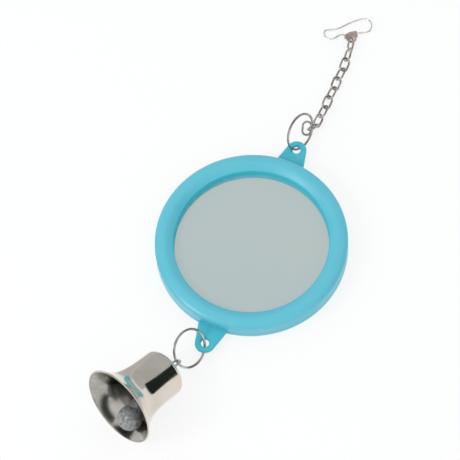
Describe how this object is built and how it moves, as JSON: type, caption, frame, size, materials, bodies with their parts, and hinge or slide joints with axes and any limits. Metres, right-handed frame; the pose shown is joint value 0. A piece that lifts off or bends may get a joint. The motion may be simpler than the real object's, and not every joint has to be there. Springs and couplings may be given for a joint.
{
  "type": "bird mirror with bell",
  "caption": "Round plastic-framed toy mirror for a cage bird, hung on a short chain with a wire clip, with a small flared bell on a ring below it.",
  "frame": {"origin": "middle of the flat back of the mirror", "axes": "+Z out of the mirror's face, +Y along the two lugs towards the clip, +X to the right seen from the front"},
  "size_m": [0.07, 0.1917, 0.0288],
  "materials": {
    "turquoise_plastic": "glossy moulded turquoise plastic",
    "mirror_glass": "silvered flat glass",
    "backing_card": "soft pale card pad",
    "nickel_wire": "nickel-plated drawn wire",
    "spring_wire": "bright spring wire",
    "folded_clasp": "dull plated folded sheet",
    "bell_metal": "bright nickel-plated spun steel",
    "zinc_casting": "dull grey casting"
  },
  "bodies": {
    "mirror_body": {"mirror_frame": "turquoise_plastic", "mirror_glass": "mirror_glass", "backing_pad": "backing_card", "rear_cover": "turquoise_plastic"},
    "upper_ring": {"upper_ring": "nickel_wire"},
    "lower_ring": {"lower_ring": "nickel_wire"},
    "clip": {"clip_loop": "spring_wire", "clip_clasp": "folded_clasp"},
    "clip_gate": {"clip_gate": "spring_wire"},
    "bell": {"bell_shell": "bell_metal", "bell_eye": "nickel_wire"},
    "clapper": {"clapper": "zinc_casting"},
    "chain_link_01": {"chain_link_01": "nickel_wire"},
    "chain_link_02": {"chain_link_02": "nickel_wire"},
    "chain_link_03": {"chain_link_03": "nickel_wire"},
    "chain_link_04": {"chain_link_04": "nickel_wire"},
    "chain_link_05": {"chain_link_05": "nickel_wire"},
    "chain_link_06": {"chain_link_06": "nickel_wire"},
    "chain_link_07": {"chain_link_07": "nickel_wire"},
    "chain_link_08": {"chain_link_08": "nickel_wire"},
    "chain_link_09": {"chain_link_09": "nickel_wire"},
    "chain_link_10": {"chain_link_10": "nickel_wire"},
    "chain_link_11": {"chain_link_11": "nickel_wire"}
  },
  "joints": [
    {"name": "upper_ring_swing", "type": "hinge", "parent": "mirror_body", "child": "upper_ring", "pos_m": [-0.00045, 0.0421, 0.00283], "axis": [-0.394, -0.5746, 0.7173], "range_deg": [-75, 60]},
    {"name": "chain_link_02_swing", "type": "hinge", "parent": "upper_ring", "child": "chain_link_02", "pos_m": [0.00184, 0.0528, 0.00326], "axis": [-0.1365, 0.6285, 0.7657], "range_deg": [-60, 60]},
    {"name": "chain_link_01_swing", "type": "hinge", "parent": "chain_link_02", "child": "chain_link_01", "pos_m": [0.00164, 0.05186, 0.00388], "axis": [-0.1365, 0.6285, 0.7657], "range_deg": [-20, 90]},
    {"name": "chain_link_03_swing", "type": "hinge", "parent": "chain_link_02", "child": "chain_link_03", "pos_m": [0.0024, 0.05541, 0.00155], "axis": [0.8023, 0.1982, 0.563], "range_deg": [-60, 60]},
    {"name": "chain_link_04_swing", "type": "hinge", "parent": "chain_link_03", "child": "chain_link_04", "pos_m": [0.00247, 0.05977, 0.00152], "axis": [-0.6134, 0.0759, 0.7861], "range_deg": [-60, 60]},
    {"name": "chain_link_05_swing", "type": "hinge", "parent": "chain_link_04", "child": "chain_link_05", "pos_m": [0.00245, 0.06413, 0.00131], "axis": [-0.8192, -0.0289, -0.5728], "range_deg": [-60, 60]},
    {"name": "chain_link_06_swing", "type": "hinge", "parent": "chain_link_05", "child": "chain_link_06", "pos_m": [0.00237, 0.06849, 0.00133], "axis": [0.819, 0.0143, -0.5736], "range_deg": [-60, 60]},
    {"name": "chain_link_07_swing", "type": "hinge", "parent": "chain_link_06", "child": "chain_link_07", "pos_m": [0.00246, 0.07284, 0.00133], "axis": [0.819, -0.0143, 0.5736], "range_deg": [-60, 60]},
    {"name": "chain_link_08_swing", "type": "hinge", "parent": "chain_link_07", "child": "chain_link_08", "pos_m": [0.00228, 0.0772, 0.00133], "axis": [-0.8187, -0.0286, 0.5736], "range_deg": [-60, 60]},
    {"name": "chain_link_09_swing", "type": "hinge", "parent": "chain_link_08", "child": "chain_link_09", "pos_m": [0.00238, 0.08156, 0.00133], "axis": [-0.819, 0.0143, -0.5736], "range_deg": [-60, 60]},
    {"name": "chain_link_10_swing", "type": "hinge", "parent": "chain_link_09", "child": "chain_link_10", "pos_m": [0.00212, 0.08591, 0.00148], "axis": [0.8171, 0.0613, -0.5733], "range_deg": [-60, 60]},
    {"name": "chain_link_11_swing", "type": "hinge", "parent": "chain_link_10", "child": "chain_link_11", "pos_m": [0.00148, 0.09021, 0.00187], "axis": [0.6712, 0.0324, 0.7406], "range_deg": [-60, 60]},
    {"name": "clip_swing", "type": "hinge", "parent": "chain_link_11", "child": "clip", "pos_m": [0.00079, 0.09452, 0.0018], "axis": [0.4646, 0.0676, -0.8829], "range_deg": [-60, 90]},
    {"name": "clip_gate_open", "type": "hinge", "parent": "clip", "child": "clip_gate", "pos_m": [-0.01016, 0.09306, 0.0008], "axis": [-0.0456, 0.0681, 0.9966], "range_deg": [0, 15], "stiffness_Nm_per_rad": 0.02, "springref_deg": -5.73},
    {"name": "lower_ring_swing", "type": "hinge", "parent": "mirror_body", "child": "lower_ring", "pos_m": [-0.0002, -0.04185, 0.00284], "axis": [0.3513, -0.6625, -0.6616], "range_deg": [-25, 45]},
    {"name": "bell_swing", "type": "hinge", "parent": "lower_ring", "child": "bell", "pos_m": [-0.00536, -0.05363, 0.00681], "axis": [0.5432, -0.2241, -0.8091], "range_deg": [-60, 60]},
    {"name": "clapper_swing", "type": "hinge", "parent": "bell", "child": "clapper", "pos_m": [-0.00877, -0.06238, 0.00941], "axis": [0.8035, -0.1409, 0.5784], "range_deg": [-41, 0]}
  ]
}
